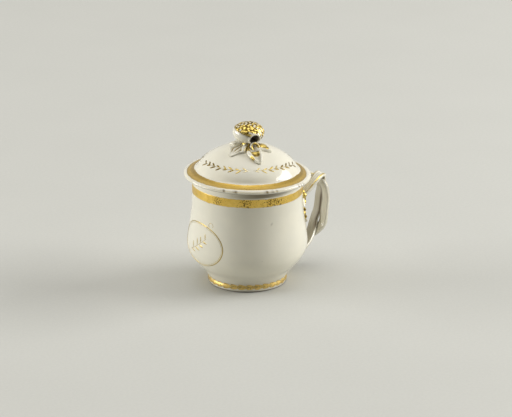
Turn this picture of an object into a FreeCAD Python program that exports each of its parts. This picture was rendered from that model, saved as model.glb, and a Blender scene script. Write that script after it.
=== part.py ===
import FreeCAD, Part
import math
import os

from FreeCAD import Placement, Rotation, Vector

os.makedirs("parts", exist_ok=True)

# A covered porcelain cup with an entwined handle, in millimetres and degrees.
# The origin is the centre of the foot's resting plane, Z is up and the handle points along +X.
# Angles round the cup are measured from +X towards +Y, and the near side is -Y.

# The cup's body
foot_radius = 20.4
foot_flare = 0.2
foot_height = 3.4
foot_edge = 0.5
foot_ring_width = 3.2
foot_recess_depth = 2.2
belly_radius = 31.2
belly_level = 22.0
mouth_radius = 28.5
mouth_level = 57.6
mouth_slope = 1.8
cup_wall = 2.6
cup_floor = 3.0
lip_height = 2.6
lip_round = 0.7
bowl_height_shares = (0.09, 0.25, 0.46, 0.73)
bowl_spread_shares = (0.08, 0.26, 0.60, 0.91)
neck_height_shares = (0.17, 0.37, 0.57, 0.75)
neck_spread_shares = (0.18, 0.58, 0.87, 0.95)
cavity_level_shares = (0.18, 0.31, 0.41, 0.53, 0.69, 0.85)
floor_flat_share = 0.7

# The cover, in its own frame: its rim rests on the level of zero
rim_overhang = 4.5
rim_radius = mouth_radius + rim_overhang
rim_round_level = 0.85
rim_edge = 0.5
rim_crown_share = 0.65
rim_crown_rise_share = 0.72
rim_turn_share = 0.4
rim_width = 2.4
band_outer_radius = rim_radius - rim_width
band_outer_level = 1.95
band_width = 4.0
band_hollow = 0.25
dome_base_radius = band_outer_radius - band_width
dome_flare = 1.4
dome_half_width = dome_base_radius + dome_flare
dome_half_height = 18.6
dome_top_level = 16.3
cover_wall = 2.6
tongue_clearance = 0.5
tongue_wall = 2.2
tongue_depth = 4.0

# The fruit that is the cover's knop
fruit_radius = 8.3
fruit_half_height = 5.7
fruit_rise = 6.6
fruit_level = dome_top_level + fruit_rise
fruit_hollow_radius = 4.0
fruit_hollow_half_height = 3.2
vent_radius = 2.6
vent_rim = 0.55
vent_angle = 260.6
vent_dip_angle = 14.0
stalk_radius = 3.4
loop_radius = 2.0
loop_thickness = 1.4
loop_reach = 7.2
loop_drop = 5.92
loop_angle = 263.0
loop_lean_angle = 25.0

# The leaves: their widths and heights from root to tip, and their sections from edge to edge
leaf_width_shares = (0.45, 0.85, 1.0, 0.88, 0.55, 0.14)
leaf_height_shares = (0.8, 1.0, 1.0, 0.9, 0.65, 0.3)
crowned_shares = ((-1, 0.3), (-0.55, 0.85), (0, 1.0), (0.55, 0.85), (1, 0.3))
folded_shares = ((-1, 1.0), (-0.75, 0.95), (0, 0.35), (0.75, 0.95), (1, 1.0))
leaf_sink = 1.2

# Where each leaf round the knop points, how far it reaches and how large it is
leaf_root_radius = 3.0
leaf_front_angle = 253.0
leaf_front_start = 7.4
leaf_front_reach = 19.5
leaf_front_width = 6.4
leaf_front_height = 2.0
leaf_front_left_angle = 219.0
leaf_front_left_reach = 10.6
leaf_front_left_width = 4.4
leaf_front_left_height = 1.9
leaf_left_angle = 198.0
leaf_left_reach = 15.2
leaf_left_width = 9.0
leaf_left_height = 1.3
leaf_right_angle = 299.0
leaf_right_reach = 13.2
leaf_right_width = 7.4
leaf_right_height = 2.3
leaf_back_left_angle = 122.0
leaf_back_left_reach = 11.5
leaf_back_left_width = 6.0
leaf_back_left_height = 1.4
leaf_back_right_angle = 50.0
leaf_back_right_reach = 12.0
leaf_back_right_width = 6.0
leaf_back_right_height = 1.6

# The handle: two reeded straps that cross at the top and at the bottom
handle_reach = 48.6
handle_top_level = 49.4
handle_low_level = 10.8
strap_width = 5.6
strap_thickness = 2.0
strap_gap = 0.2
reed_height = 0.3
reed_count = 3
upper_root_spread = 6.6
lower_root_spread = 5.6
handle_reach_shares = (-0.06, 0.20, 0.41, 0.62, 0.80, 0.945, 1.0, 0.99, 0.96, 0.92, 0.835, 0.67,
                       0.45, 0.20, -0.10)
handle_height_shares = (0.77, 0.87, 0.945, 0.997, 0.99, 0.907, 0.782, 0.653, 0.523, 0.407, 0.285, 0.187,
                        0.109, 0.047, 0.0)
strap_sections = 36
upper_cross_shares = (0.19, 0.40)
lower_cross_shares = (0.64, 0.94)
upper_lift_shares = (0.11, 0.23, 0.37, 0.50)
lower_lift_shares = (0.56, 0.70, 0.88, 1.0)

# The moulded sprigs where the straps meet the body
sprig_angle = 18.0
sprig_level = 43.0
sprig_relief = 2.0
sprig_leaf_width = 5.2
sprig_drop = 13.5
sprig_sweep_angle = 9.0
side_leaf_drop = 5.5
side_leaf_sweep_angle = 15.0
side_leaf_width = 4.0
berry_radius = 1.15
berry_drop = 8.5
berry_sweep_angle = 13.0
berry_place_shares = (0.6, 1.0)
foot_leaf_angle = 11.0
foot_leaf_level = 13.6
foot_leaf_drop = 5.6
foot_leaf_sweep_angle = 14.0
foot_leaf_width = 5.4
foot_leaf_relief = 1.5

cut_overrun = 5.0
finding_tolerance = 1e-9
length_tolerance = 1e-4
up = Vector(0, 0, 1)
sideways = Vector(0, 1, 0)


def on_meridian(radius, level):
    """A point of a turned outline, in the plane of X and Z."""
    return Vector(radius, 0, level)


def line(start, end):
    return Part.LineSegment(start, end).toShape()


def arc(start, middle, end):
    return Part.Arc(start, middle, end).toShape()


def turned(edges):
    """The solid that a closed outline sweeps round the vertical axis."""
    face = Part.Face(Part.Wire(edges))
    return face.revolve(Vector(0, 0, 0), up, 360)


def eased(start, end, place):
    """A smooth step from 0 at start to 1 at end."""
    share = min(max((place - start) / (end - start), 0.0), 1.0)
    return share * share * (3 - 2 * share)


def between(start, end, share):
    return start + (end - start) * share


# The cup's outline, from the top of the foot to the mouth
def cup_curve():
    bowl_height = belly_level - foot_height
    bowl_start = foot_radius + foot_flare
    neck_height = mouth_level - belly_level
    points = [on_meridian(bowl_start, foot_height)]
    for height_share, spread_share in zip(bowl_height_shares, bowl_spread_shares):
        radius = between(bowl_start, belly_radius, spread_share)
        points.append(on_meridian(radius, foot_height + bowl_height * height_share))
    points.append(on_meridian(belly_radius, belly_level))
    for height_share, spread_share in zip(neck_height_shares, neck_spread_shares):
        radius = between(belly_radius, mouth_radius, spread_share)
        points.append(on_meridian(radius, belly_level + neck_height * height_share))
    points.append(on_meridian(mouth_radius, lip_level))
    curve = Part.BSplineCurve()
    curve.interpolate(points)
    return curve


# The wall is straight from the lip's level to the trim level, and is cut off between them on a slope
mouth_rise = mouth_radius * math.tan(math.radians(mouth_slope))
lip_level = mouth_level - mouth_rise - lip_height
trim_level = mouth_level + mouth_rise + cut_overrun
cup_outline = cup_curve()


def cup_surface(angle, level):
    """The point of the cup's outside at an angle and a level, and the way straight out of it there."""
    low = cup_outline.FirstParameter
    high = cup_outline.LastParameter
    while high - low > finding_tolerance:
        middle = (low + high) / 2
        if cup_outline.value(middle).z < level:
            low = middle
        else:
            high = middle
    point = cup_outline.value(low)
    along = cup_outline.tangent(low)[0]
    outward = Vector(along.z, 0, -along.x)
    turn = Rotation(up, angle)
    return turn.multVec(point), turn.multVec(outward)


def cup_profile_below():
    """The foot's outside, from the recess under the cup to the start of the bowl."""
    ring_inside = foot_radius - foot_ring_width
    return [
        line(on_meridian(0, foot_recess_depth), on_meridian(ring_inside, foot_recess_depth)),
        line(on_meridian(ring_inside, foot_recess_depth), on_meridian(ring_inside, 0)),
        line(on_meridian(ring_inside, 0), on_meridian(foot_radius - foot_edge, 0)),
        line(on_meridian(foot_radius - foot_edge, 0), on_meridian(foot_radius, foot_edge)),
        line(on_meridian(foot_radius, foot_edge), on_meridian(foot_radius + foot_flare, foot_height)),
        cup_outline.toShape(),
        line(on_meridian(mouth_radius, lip_level), on_meridian(mouth_radius, trim_level)),
    ]


def cup_block():
    """The cup's outer form with no hollow, which trims what is stuck on the cup."""
    edges = cup_profile_below()
    edges.append(line(on_meridian(mouth_radius, trim_level), on_meridian(0, trim_level)))
    edges.append(line(on_meridian(0, trim_level), on_meridian(0, foot_recess_depth)))
    return turned(edges)


def cavity_curve():
    """The inside of the bowl, one wall in from the outside, down to the flat of the floor."""
    floor_level = foot_recess_depth + cup_floor
    points = [on_meridian(foot_radius * floor_flat_share, floor_level)]
    for level_share in cavity_level_shares:
        point, outward = cup_surface(0, lip_level * level_share)
        points.append(point - outward * cup_wall)
    points.append(on_meridian(mouth_radius - cup_wall, lip_level))
    curve = Part.BSplineCurve()
    curve.interpolate(Points=points, InitialTangent=Vector(1, 0, 0), FinalTangent=up)
    return curve


seat_frame = Placement(Vector(0, 0, mouth_level), Rotation(sideways, mouth_slope))


def cup_body():
    """The bowl with its foot ring, hollow, and cut off along the sloping plane of the mouth."""
    floor_level = foot_recess_depth + cup_floor
    edges = cup_profile_below()
    inside_radius = mouth_radius - cup_wall
    edges.append(line(on_meridian(mouth_radius, trim_level), on_meridian(inside_radius, trim_level)))
    edges.append(line(on_meridian(inside_radius, trim_level), on_meridian(inside_radius, lip_level)))
    edges.append(cavity_curve().toShape())
    edges.append(line(on_meridian(foot_radius * floor_flat_share, floor_level), on_meridian(0, floor_level)))
    edges.append(line(on_meridian(0, floor_level), on_meridian(0, foot_recess_depth)))
    side = mouth_radius + cut_overrun
    above = Part.makeBox(2 * side, 2 * side, 2 * side, Vector(-side, -side, 0))
    above.Placement = seat_frame.multiply(above.Placement)
    body = turned(edges).cut(above)
    lip = [edge for edge in body.Edges if lies_on_seat(edge)]
    return body.makeFillet(min(lip_round, cup_wall / 3), lip)


def lies_on_seat(edge):
    normal = seat_frame.Rotation.multVec(up)
    ends = (edge.valueAt(edge.FirstParameter), edge.valueAt((edge.FirstParameter + edge.LastParameter) / 2))
    return all(abs((end - seat_frame.Base).dot(normal)) < length_tolerance for end in ends)


# The cover
def dome_height(radius):
    """How high the dome's outside stands at a distance from the axis."""
    centre = dome_top_level - dome_half_height
    return centre + dome_half_height * math.sqrt(1 - (radius / dome_half_width) ** 2)


def ellipse_arc(half_width, half_height, level, base_radius, upward):
    """Part of an ellipse about the axis, from a base radius to the top, or to the bottom."""
    centre = on_meridian(0, level)
    ellipse = Part.Ellipse(centre + on_meridian(half_width, 0), centre + on_meridian(0, half_height), centre)
    start = math.acos(base_radius / half_width)
    if upward:
        bounds = (start, math.pi / 2)
    else:
        bounds = (-math.pi / 2, -start)
    return Part.ArcOfEllipse(ellipse, *bounds).toBSpline().toShape()


def dome_arc(inset, base_radius):
    """The dome's outline from its base to the axis, moved in by an inset."""
    centre = dome_top_level - dome_half_height
    return ellipse_arc(dome_half_width - inset, dome_half_height - inset, centre, base_radius, True)


def cover_outside():
    """The cover's upper outline, from the top of the dome to the flat under its rim."""
    band_inner = on_meridian(dome_base_radius, dome_height(dome_base_radius))
    band_outer = on_meridian(band_outer_radius, band_outer_level)
    band_middle = (band_inner + band_outer) * 0.5 - on_meridian(0, band_hollow)
    rim_side = on_meridian(rim_radius, rim_round_level)
    rim_top = on_meridian(between(band_outer_radius, rim_radius, rim_crown_share),
                          between(rim_round_level, band_outer_level, rim_crown_rise_share))
    rim_bottom = on_meridian(rim_radius - rim_edge, 0)
    rim_turn = on_meridian(rim_radius - rim_edge * rim_turn_share / 2, rim_round_level * rim_turn_share)
    return [
        dome_arc(0, dome_base_radius),
        arc(band_inner, band_middle, band_outer),
        arc(band_outer, rim_top, rim_side),
        arc(rim_side, rim_turn, rim_bottom),
    ]


def cover_block():
    """The cover's outer form with no hollow, which trims what is stuck on the dome."""
    edges = cover_outside()
    edges.append(line(on_meridian(rim_radius - rim_edge, 0), on_meridian(0, 0)))
    edges.append(line(on_meridian(0, 0), on_meridian(0, dome_top_level)))
    return turned(edges)


def cover_shell():
    """The domed shell with a flat rim and the tongue that keeps it in the cup's mouth."""
    tongue_outside = mouth_radius - cup_wall - tongue_clearance
    tongue_inside = tongue_outside - tongue_wall
    inner_centre = dome_top_level - dome_half_height
    inner_half_width = dome_half_width - cover_wall
    inner_half_height = dome_half_height - cover_wall
    shoulder = inner_centre + inner_half_height * math.sqrt(1 - (tongue_inside / inner_half_width) ** 2)
    inner_top = dome_top_level - cover_wall
    edges = cover_outside()
    edges.append(line(on_meridian(rim_radius - rim_edge, 0), on_meridian(tongue_outside, 0)))
    edges.append(line(on_meridian(tongue_outside, 0), on_meridian(tongue_outside, -tongue_depth)))
    edges.append(line(on_meridian(tongue_outside, -tongue_depth), on_meridian(tongue_inside, -tongue_depth)))
    edges.append(line(on_meridian(tongue_inside, -tongue_depth), on_meridian(tongue_inside, shoulder)))
    edges.append(dome_arc(cover_wall, tongue_inside))
    edges.append(line(on_meridian(0, inner_top), on_meridian(0, dome_top_level)))
    return turned(edges)


# The knop
def oblate(radius, half_height, level):
    """A flattened ball on the axis."""
    top = ellipse_arc(radius, half_height, level, radius, True)
    bottom = ellipse_arc(radius, half_height, level, radius, False)
    axis = line(on_meridian(0, level + half_height), on_meridian(0, level - half_height))
    return turned([bottom, top, axis])


def vent_direction():
    """The way the fruit's vent points, a little below level."""
    dip = math.radians(vent_dip_angle)
    level_part = Rotation(up, vent_angle).multVec(Vector(1, 0, 0))
    return level_part * math.cos(dip) - up * math.sin(dip)


def fruit_block():
    """The fruit's outer form, with the raised lip round its vent and no hollow."""
    direction = vent_direction()
    lip_centre = on_meridian(0, fruit_level) + direction * (fruit_radius - vent_rim)
    lip = Part.makeTorus(vent_radius + vent_rim / 2, vent_rim, lip_centre, direction)
    return oblate(fruit_radius, fruit_half_height, fruit_level).fuse(lip)


def fruit_knop():
    """The fruit with its vent, which opens into a small hollow."""
    centre = on_meridian(0, fruit_level)
    bore = Part.makeCylinder(vent_radius, fruit_radius + cut_overrun, centre, vent_direction())
    hollow = oblate(fruit_hollow_radius, fruit_hollow_half_height, fruit_level)
    return fruit_block().cut(bore).cut(hollow)


def stalk_block():
    return Part.makeCylinder(stalk_radius, fruit_level, Vector(0, 0, 0), up)


def loop_block():
    """The curled stem, a ring that stands on the dome under the vent."""
    outward = Rotation(up, loop_angle).multVec(Vector(1, 0, 0))
    lean = math.radians(loop_lean_angle)
    facing = outward * math.cos(lean) + up * math.sin(lean)
    centre = outward * loop_reach + up * (fruit_level - loop_drop)
    return Part.makeTorus(loop_radius, loop_thickness / 2, centre, facing)


def leaf_loft(places, width, height, section_shares):
    """A smooth solid leaf through places, each a point on the ground with the ways across and out."""
    wires = []
    sections = zip(places, leaf_width_shares, leaf_height_shares)
    for (ground, across, outward), width_share, height_share in sections:
        half = width * width_share / 2
        top = height * height_share
        outline = [ground - across * half - outward * leaf_sink]
        for offset_share, rise_share in section_shares:
            outline.append(ground + across * (half * offset_share) + outward * (top * rise_share))
        outline.append(ground + across * half - outward * leaf_sink)
        wires.append(Part.makePolygon(outline + [outline[0]]))
    return Part.makeLoft(wires, True, False)


def dome_leaf(angle, start, reach, width, height, section_shares):
    """A leaf that lies on the dome and points away from the axis."""
    turn = Rotation(up, angle)
    places = []
    for number in range(len(leaf_width_shares)):
        radius = between(start, reach, number / (len(leaf_width_shares) - 1))
        ground = turn.multVec(on_meridian(radius, dome_height(radius)))
        places.append((ground, turn.multVec(sideways), up))
    return leaf_loft(places, width, height, section_shares)


# The handle
def handle_curve():
    """The line that runs between the two straps, seen from the side."""
    points = []
    for reach_share, height_share in zip(handle_reach_shares, handle_height_shares):
        radius = between(mouth_radius, handle_reach, reach_share)
        points.append(on_meridian(radius, between(handle_low_level, handle_top_level, height_share)))
    curve = Part.BSplineCurve()
    curve.interpolate(points)
    return curve


handle_line = handle_curve()


def strap_place(side, share):
    """The middle of a strap at a share of the handle's length, and the handle's outward way there."""
    length = handle_line.length()
    place = handle_line.parameterAtDistance(length * share, handle_line.FirstParameter)
    along = handle_line.tangent(place)[0]
    outward = Vector(-along.z, 0, along.x)
    beside = (strap_width + strap_gap) / 2
    spread = between(-upper_root_spread, beside, eased(*upper_cross_shares, share))
    spread = spread - (beside + lower_root_spread) * eased(*lower_cross_shares, share)
    over, over_end, over_back, over_done = upper_lift_shares
    under, under_end, under_back, under_done = lower_lift_shares
    lift = eased(over, over_end, share) - eased(over_back, over_done, share)
    lift = lift - eased(under, under_end, share) + eased(under_back, under_done, share)
    clear = (strap_thickness + strap_gap) / 2
    return handle_line.value(place) + sideways * (spread * side) + outward * (clear * lift * side), outward


def strap_section(side, share):
    """The strap's section: a flat inner face, rounded sides and reeds on its outer face."""
    step = 1 / (4 * strap_sections)
    middle, outward = strap_place(side, share)
    ahead = strap_place(side, min(share + step, 1))[0]
    behind = strap_place(side, max(share - step, 0))[0]
    along = (ahead - behind).normalize()
    across = along.cross(outward).normalize()
    rise = across.cross(along)

    def spot(offset, height):
        return middle + across * offset + rise * height

    half = strap_width / 2
    inner = -strap_thickness / 2
    groove = strap_thickness / 2 - reed_height
    corner = strap_thickness / 4
    edges = [line(spot(corner - half, inner), spot(half - corner, inner))]
    edges.append(arc(spot(half - corner, inner), spot(half, 0), spot(half - corner, groove)))
    reed = (strap_width - 2 * corner) / reed_count
    for number in range(reed_count):
        start = half - corner - reed * number
        ridge = spot(start - reed / 2, groove + reed_height)
        edges.append(arc(spot(start, groove), ridge, spot(start - reed, groove)))
    edges.append(arc(spot(corner - half, groove), spot(-half, 0), spot(corner - half, inner)))
    return Part.Wire(edges)


def strap(side):
    wires = []
    for number in range(strap_sections + 1):
        wires.append(strap_section(side, number / strap_sections))
    return Part.makeLoft(wires, True, False)


# What is moulded in relief on the cup
def wall_leaf(angle, level, turn, drop, width, relief):
    """A crowned leaf that runs down the cup's wall and round it."""
    spots = []
    for number in range(len(leaf_width_shares) + 1):
        share = number / (len(leaf_width_shares) - 1)
        spots.append(cup_surface(angle + turn * share, level - drop * share))
    places = []
    for (ground, outward), (ahead, _) in zip(spots, spots[1:]):
        across = (ahead - ground).cross(outward).normalize()
        places.append((ground, across, outward))
    return leaf_loft(places, width, relief, crowned_shares)


def upper_sprig(side):
    """A long leaf that trails down the wall, a side leaf and two berries."""
    angle = sprig_angle * side
    long_leaf = wall_leaf(angle, sprig_level, sprig_sweep_angle * side, sprig_drop,
                          sprig_leaf_width, sprig_relief)
    side_leaf = wall_leaf(angle, sprig_level, side_leaf_sweep_angle * side, side_leaf_drop,
                          side_leaf_width, sprig_relief)
    sprig = long_leaf.fuse(side_leaf)
    for share in berry_place_shares:
        centre, _ = cup_surface(angle + berry_sweep_angle * side * share, sprig_level - berry_drop * share)
        sprig = sprig.fuse(Part.makeSphere(berry_radius, centre))
    return sprig


def lower_leaf(side):
    """The leaf under a strap's lower end."""
    return wall_leaf(foot_leaf_angle * side, foot_leaf_level, foot_leaf_sweep_angle * side, foot_leaf_drop,
                     foot_leaf_width, foot_leaf_relief)


def trimmed(shape, *blocks):
    """A piece with what it meets cut away, so that the two lie face to face."""
    for block in blocks:
        shape = shape.cut(block)
    solids = sorted(shape.Solids, key=lambda solid: solid.Volume)
    return solids[-1]


def cup_parts():
    body_block = cup_block()
    strap_near = trimmed(strap(1), body_block)
    strap_far = trimmed(strap(-1), body_block)
    parts = {
        "cup_body": cup_body(),
        "handle_strap_near": strap_near,
        "handle_strap_far": strap_far,
        "upper_sprig_near": trimmed(upper_sprig(-1), body_block, strap_near),
        "upper_sprig_far": trimmed(upper_sprig(1), body_block, strap_far),
        "lower_leaf_near": trimmed(lower_leaf(-1), body_block, strap_near),
        "lower_leaf_far": trimmed(lower_leaf(1), body_block, strap_far),
    }
    return parts


def cover_parts():
    """The cover's pieces, put from the cover's own frame onto the sloping mouth."""
    dome = cover_block()
    fruit = fruit_block()
    stalk = stalk_block()
    root = leaf_root_radius
    leaves = {
        "leaf_front": dome_leaf(leaf_front_angle, leaf_front_start, leaf_front_reach,
                                leaf_front_width, leaf_front_height, folded_shares),
        "leaf_front_left": dome_leaf(leaf_front_left_angle, root, leaf_front_left_reach,
                                     leaf_front_left_width, leaf_front_left_height, crowned_shares),
        "leaf_left": dome_leaf(leaf_left_angle, root, leaf_left_reach,
                               leaf_left_width, leaf_left_height, crowned_shares),
        "leaf_right": dome_leaf(leaf_right_angle, root, leaf_right_reach,
                                leaf_right_width, leaf_right_height, crowned_shares),
        "leaf_back_left": dome_leaf(leaf_back_left_angle, root, leaf_back_left_reach,
                                    leaf_back_left_width, leaf_back_left_height, crowned_shares),
        "leaf_back_right": dome_leaf(leaf_back_right_angle, root, leaf_back_right_reach,
                                     leaf_back_right_width, leaf_back_right_height, crowned_shares),
    }
    parts = {
        "cover_shell": cover_shell(),
        "fruit_knop": fruit_knop(),
        "knop_stalk": trimmed(stalk, dome, fruit),
    }
    taken = [dome, fruit, stalk]
    for name, leaf in leaves.items():
        parts[name] = trimmed(leaf, *taken)
        taken.append(leaf)
    parts["stalk_loop"] = trimmed(loop_block(), *taken)
    for shape in parts.values():
        shape.Placement = seat_frame.multiply(shape.Placement)
    return parts


for name, shape in {**cup_parts(), **cover_parts()}.items():
    shape.exportStep(f"parts/{name}.step")
    print(name, "solids", len(shape.Solids), "valid", shape.isValid(), "volume", round(shape.Volume, 1))
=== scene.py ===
# %% [markdown]
# # A small gilded porcelain cup and its cover
# The real cup was thrown on a wheel from white porcelain clay, turned smooth, dipped in clear glaze
# and fired hard. Then a gilder painted gold on the glaze with a brush and fired it once more.
# The lesson makes it in the same order: clay forms first, then what is stuck on, then glaze and gold.
# Every length is in millimetres and is turned to metres in one place.

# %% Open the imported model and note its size
from math import atan2, cos, degrees, exp, hypot, pi, radians, sin, sqrt, tan

import bmesh
import bpy
import numpy as np
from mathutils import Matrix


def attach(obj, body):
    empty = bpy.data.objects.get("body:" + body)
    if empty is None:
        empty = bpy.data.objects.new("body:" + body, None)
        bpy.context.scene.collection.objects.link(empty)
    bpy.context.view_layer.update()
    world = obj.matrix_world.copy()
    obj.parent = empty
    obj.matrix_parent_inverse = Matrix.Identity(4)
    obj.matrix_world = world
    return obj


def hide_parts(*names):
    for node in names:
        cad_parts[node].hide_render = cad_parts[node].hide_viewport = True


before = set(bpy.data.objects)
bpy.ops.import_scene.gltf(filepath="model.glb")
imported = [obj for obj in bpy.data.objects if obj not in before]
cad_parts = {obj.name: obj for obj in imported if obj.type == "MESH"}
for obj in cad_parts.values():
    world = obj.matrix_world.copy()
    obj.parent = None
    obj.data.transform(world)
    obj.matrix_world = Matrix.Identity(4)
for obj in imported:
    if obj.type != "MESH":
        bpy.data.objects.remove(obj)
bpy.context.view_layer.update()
mm = 0.001

# %% [markdown]
# ## The camera
# The picture was taken from a little above with a long lens, so the rim looks like a narrow ellipse
# and nothing is stretched. A camera that stands 1.5 m away with a lens of about 200 mm gives that.
# It is moved sideways, not shifted, so the cup sits left of the middle and other views stay true.

# %% Stand the camera where the picture was taken from
camera_turn = radians(-35)
camera_rise = radians(19.7)
camera_distance = 1500
lens_length = 203.4
film_width = 36
aim_level = 43
aim_right = 4.48
aim_down = 3.78


def way_of(azimuth, rise):
    """The direction of an azimuth and of a rise over the level."""
    return np.array([cos(azimuth) * cos(rise), sin(azimuth) * cos(rise), sin(rise)])


def put(name, data):
    """An object in the scene that shows a camera, a lamp or a mesh."""
    thing = bpy.data.objects.new(name, data)
    bpy.context.scene.collection.objects.link(thing)
    return thing


to_camera = way_of(camera_turn - pi / 2, camera_rise)
to_right = way_of(camera_turn, 0)
to_top = np.cross(to_camera, to_right)
eye = np.array([0, 0, aim_level]) + to_right * aim_right - to_top * aim_down + to_camera * camera_distance

camera = put("camera", bpy.data.cameras.new("camera"))
camera.data.sensor_width = film_width
camera.data.lens = lens_length
camera.data.clip_end = 50
camera.location = eye * mm
camera.rotation_euler = (pi / 2 - camera_rise, 0, camera_turn)
bpy.context.scene.camera = camera
print("camera at", [round(float(value)) for value in eye], "mm")

# %% [markdown]
# ## Light
# Both sides of the cup are bright and its middle is in shade, and the glaze shows one wide soft
# highlight on the right of the dome. So a softbox stands low on each side, the right one brighter.
# They stand far off, so that the light is even. Each direction comes from a highlight: the view
# ray is mirrored where it shines.

# %% Stand a softbox on each side
def softbox(name, turn, rise, distance, width, height, light):
    """A soft lamp that faces the cup. Its light of 1 shows a white card at the cup as white."""
    azimuth = camera_turn - pi / 2 + radians(turn)
    lamp = bpy.data.lights.new(name, "AREA")
    lamp.shape = "RECTANGLE"
    lamp.size = width * mm
    lamp.size_y = height * mm
    lamp.energy = light * (pi * distance * mm) ** 2
    box = put(name, lamp)
    box.location = (np.array([0, 0, aim_level]) + way_of(azimuth, radians(rise)) * distance) * mm
    box.rotation_euler = (pi / 2 - radians(rise), 0, azimuth + pi / 2)
    box.visible_camera = False
    print(name, "gives", round(lamp.energy, 2), "W")


softbox("softbox_right", 98, 20, 1800, 1250, 950, 1.11)
softbox("softbox_left", -93, 10, 1800, 1200, 560, 0.92)

# %% [markdown]
# ## Colour and nodes
# A colour is written the way a paint chart gives it, in hex, and one function makes it linear for
# the renderer. One more empties a node tree, and one adds any node with its settings and its links,
# so that a material reads as a list of steps.

# %% Three helpers for every material
def paint(code):
    """The linear colour of an sRGB hex value such as 'E9E3CF'."""
    shares = [int(code[place:place + 2], 16) / 255 for place in (0, 2, 4)]
    linear = [s / 12.92 if s <= 0.04045 else ((s + 0.055) / 1.055) ** 2.4 for s in shares]
    return (*linear, 1.0)


def blank_nodes(owner):
    """The emptied node tree of a material or of a world."""
    owner.use_nodes = True
    owner.node_tree.nodes.clear()
    return owner.node_tree


def add(tree, kind, inputs=None, **settings):
    """Adds one shader node and returns its outputs. An input is a plain value or another's output."""
    made = tree.nodes.new("ShaderNode" + kind)
    for name, value in settings.items():
        setattr(made, name, value)
    for name, value in (inputs or {}).items():
        if isinstance(value, bpy.types.NodeSocket):
            tree.links.new(value, made.inputs[name])
        else:
            made.inputs[name].default_value = value
    return made.outputs


# %% [markdown]
# ## The floor and the room
# The cup stands on seamless paper, a matte pale grey. The room is a plain pale grey too. What the
# camera sees of it is as pale as the paper. For light and reflections its walls are darkest behind
# the camera, so the middle of the cup stays in shade, and its ceiling is bright above the cup.

# %% Roll out the paper
paper_half = 6000

paper = bpy.data.materials.new("seamless_paper")
tree = blank_nodes(paper)
place = add(tree, "TexCoord")
# Paper has faint clouds about 60 mm wide. Its fibre is finer than the picture shows, so its tooth is
# drawn about 1.5 mm wide.
cloud = add(tree, "TexNoise", {"Vector": place["Object"], "Scale": 16.0, "Detail": 3.0})
tooth = add(tree, "TexNoise", {"Vector": place["Object"], "Scale": 650.0, "Detail": 2.0})
mottle = add(tree, "Mix", {0: 0.65, 2: cloud["Fac"], 3: tooth["Fac"]}, data_type="FLOAT")
tone = add(tree, "Mix", {0: mottle[0], 6: paint("BDBDB7"), 7: paint("CACAC4")}, data_type="RGBA")
shader = add(tree, "BsdfPrincipled", {"Base Color": tone[2], "Roughness": 0.9})
add(tree, "OutputMaterial", {"Surface": shader[0]})

sheet = bpy.data.meshes.new("floor")
corners = [(-1, -1), (1, -1), (1, 1), (-1, 1)]
sheet.from_pydata([(x * paper_half * mm, y * paper_half * mm, 0) for x, y in corners], [], [(0, 1, 2, 3)])
sheet.materials.append(paper)
floor = put("floor", sheet)
print("floor", 2 * paper_half, "mm wide")

# %% Fill the room with its own light
world = bpy.data.worlds.new("room")
bpy.context.scene.world = world
tree = blank_nodes(world)
room_depth = (-to_camera[0] / cos(camera_rise), -to_camera[1] / cos(camera_rise), 0.0)
walls_share = 0.13
ceiling_light = 2.35
place = add(tree, "TexCoord")
way = add(tree, "SeparateXYZ", {0: place["Generated"]})
back = add(tree, "VectorMath", {0: place["Generated"], 1: room_depth}, operation="DOT_PRODUCT")
depth = add(tree, "Math", {0: back["Value"], 1: 0.34, 2: 0.36}, operation="MULTIPLY_ADD")
walls = add(tree, "Math", {0: way["Z"], 1: 0.3, 2: depth[0]}, operation="MULTIPLY_ADD", use_clamp=True)
ray = add(tree, "LightPath")
share = add(tree, "MapRange", {"Value": ray["Is Glossy Ray"], "To Min": walls_share, "To Max": 1.0})
ceiling = add(tree, "MapRange", {
    "Value": way["Z"], "From Min": 0.75, "From Max": 1.0, "To Max": ceiling_light})
strength = add(tree, "Math", {0: walls[0], 1: share[0], 2: ceiling[0]}, operation="MULTIPLY_ADD")
lighting = add(tree, "Background", {"Color": paint("FFFDF8"), "Strength": strength[0]})
seen = add(tree, "Math", {0: ray["Is Camera Ray"], 1: ray["Is Transmission Ray"]}, operation="MAXIMUM")
backdrop = add(tree, "Background", {"Color": paint("D6D4CA"), "Strength": 1.0})
both = add(tree, "MixShader", {0: seen[0], 1: lighting[0], 2: backdrop[0]})
add(tree, "OutputWorld", {"Surface": both[0]})
bpy.context.scene.view_settings.view_transform = "Standard"
print("the room is lit")

# %% [markdown]
# ## Glaze
# Hard-paste porcelain is a cool white clay under a clear feldspar glaze, which fires to a creamy
# white gloss. To the eye that is a pale body with sharp reflections, a few dark kiln specks, faint
# clouds where the glaze lies thicker, and a surface that is never quite flat.
# Glaze has an index of refraction of about 1.5 and is almost smooth.
#
# ## Gilding
# The gold is a thin film of brushed-on gold powder, fired and then rubbed with agate. It is a
# metal, a little rough, with a reddish yellow colour. Where hands have rubbed it, the film gets
# brown and thin first, and then the glaze shows through. All finishes of the cup are one recipe,
# which gets a gilding mask of its own for each piece.

# %% Mix the recipe of glaze with gilding over it
glaze_white = "E3DECB"
glaze_cool = "D8D5C6"
glaze_pooled_and_shade = "989079"
bare_clay_and_shade = "5C4C36"
gold_bright = "EACD74"
gold_deep = "CDA543"
gold_rubbed = "5E4A1A"
gold_pale = "EBD682"
gold_olive = "C6A64A"
glaze_roughness = 0.13
dusty_roughness = 0.6
gold_roughness = 0.36
glaze_refraction = 1.5


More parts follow.
